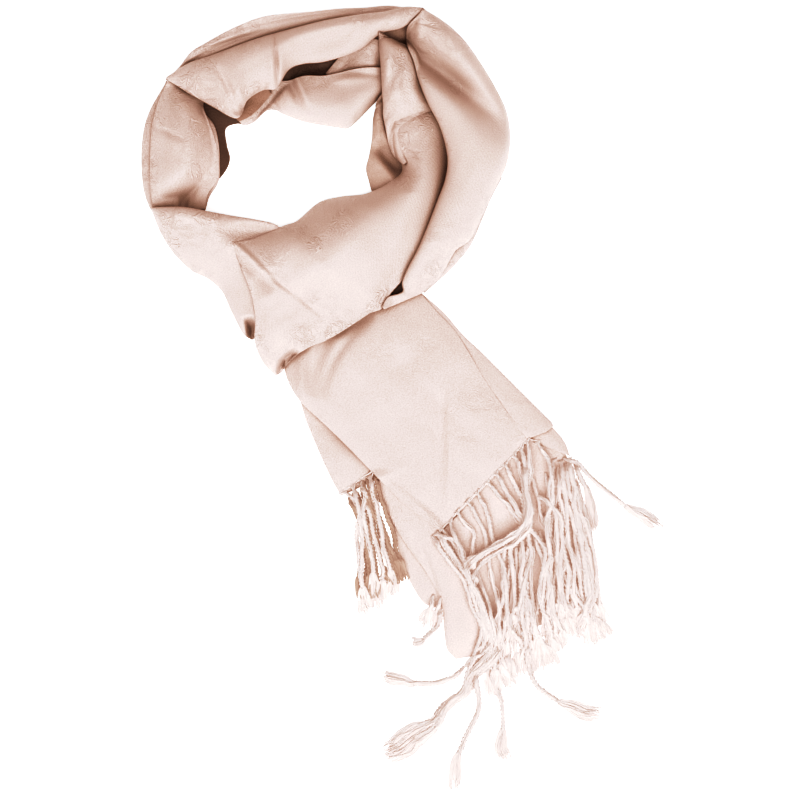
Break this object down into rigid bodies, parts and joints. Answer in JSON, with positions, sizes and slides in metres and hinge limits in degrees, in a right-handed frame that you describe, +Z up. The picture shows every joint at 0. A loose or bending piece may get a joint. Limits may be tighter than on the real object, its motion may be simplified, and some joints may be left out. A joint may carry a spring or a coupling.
{
  "type": "fringed stole",
  "caption": "Soft pashmina stole, folded lengthwise and wound into a neck loop, lying flat with crossed tails and twisted fringes.",
  "frame": {"origin": "middle of the bounding box, on the surface that the stole lies on", "axes": "+Z up from that surface, +Y from the tails towards the neck loop, +X to the right seen from above"},
  "size_m": [0.5229, 0.7845, 0.0555],
  "materials": {
    "cloth": "fine satin-faced twill in blush, with a tone-on-tone floral and paisley jacquard and a soft sheen",
    "fringe": "the same yarn twisted two-ply into cords with loose frayed ends"
  },
  "bodies": {
    "root": {"tail_back_under": "cloth", "tail_back": "cloth", "tail_back_fold": "cloth", "tail_left": "cloth", "tail_front_under": "cloth", "tail_front": "cloth", "loop_top_under": "cloth", "loop_left_under": "cloth", "loop_left_inner": "cloth", "loop_right_under": "cloth", "loop_inner_top": "cloth", "loop_inner_right_low": "cloth", "loop_inner_right": "cloth", "loop_left": "cloth", "loop_top": "cloth", "loop_lower": "cloth", "loop_front": "cloth", "loop_right": "cloth", "fringe_left": "fringe", "fringe_back": "fringe", "fringe_front": "fringe", "cord_right_long": "fringe", "cord_right_short": "fringe", "cord_left_small": "fringe", "cord_left_long": "fringe", "cord_bundle": "fringe", "cord_low_left": "fringe", "cord_low_middle": "fringe", "cord_low_right": "fringe"}
  },
  "joints": []
}
